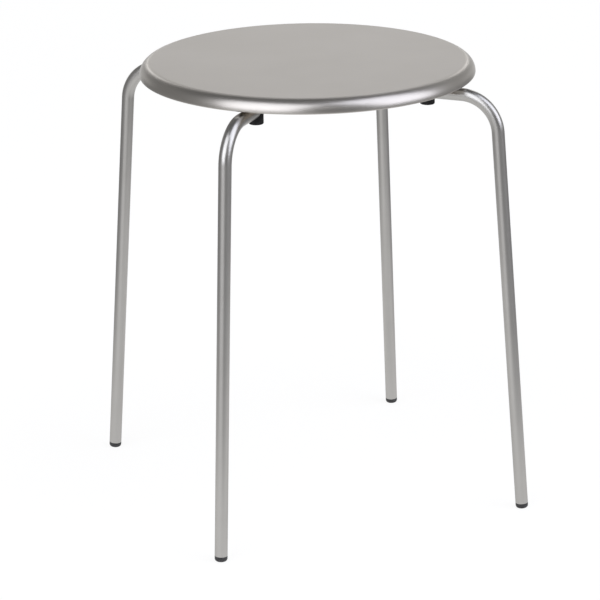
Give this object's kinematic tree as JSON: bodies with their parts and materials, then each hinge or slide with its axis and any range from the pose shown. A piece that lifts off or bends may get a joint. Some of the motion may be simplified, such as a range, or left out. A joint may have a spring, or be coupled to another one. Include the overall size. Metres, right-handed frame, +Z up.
{
  "type": "stool",
  "caption": "Round stacking stool: flat pressed stainless steel seat with a rounded edge, on bent steel tube legs that splay outwards, with black foot plugs and bumpers.",
  "frame": {"origin": "on the floor, under the middle of the seat", "axes": "+Z up; the legs stand on the diagonals of X and Y; -Y is the front"},
  "size_m": [0.3404, 0.3404, 0.45],
  "materials": {
    "seat_stainless": "satin",
    "tube_stainless": "satin",
    "plywood": "grey stain under clear lacquer",
    "black_plastic": "moulded",
    "black_rubber": "moulded",
    "screw_steel": "bright",
    "insert_zinc": "plated"
  },
  "bodies": {
    "root": {"seat_pan": "seat_stainless", "seat_core": "plywood", "leg_back_right": "tube_stainless", "leg_back_left": "tube_stainless", "leg_front_left": "tube_stainless", "leg_front_right": "tube_stainless", "foot_plug_back_right": "black_plastic", "foot_plug_back_left": "black_plastic", "foot_plug_front_left": "black_plastic", "foot_plug_front_right": "black_plastic", "tube_end_plug_back_right": "black_plastic", "tube_end_plug_back_left": "black_plastic", "tube_end_plug_front_left": "black_plastic", "tube_end_plug_front_right": "black_plastic", "stacking_bumper_back_right": "black_rubber", "stacking_bumper_back_left": "black_rubber", "stacking_bumper_front_left": "black_rubber", "stacking_bumper_front_right": "black_rubber", "leg_screws_back_right": "screw_steel", "leg_screws_back_left": "screw_steel", "leg_screws_front_left": "screw_steel", "leg_screws_front_right": "screw_steel", "saddle_washers_back_right": "black_plastic", "saddle_washers_back_left": "black_plastic", "saddle_washers_front_left": "black_plastic", "saddle_washers_front_right": "black_plastic", "threaded_inserts_back_right": "insert_zinc", "threaded_inserts_back_left": "insert_zinc", "threaded_inserts_front_left": "insert_zinc", "threaded_inserts_front_right": "insert_zinc"}
  },
  "joints": []
}
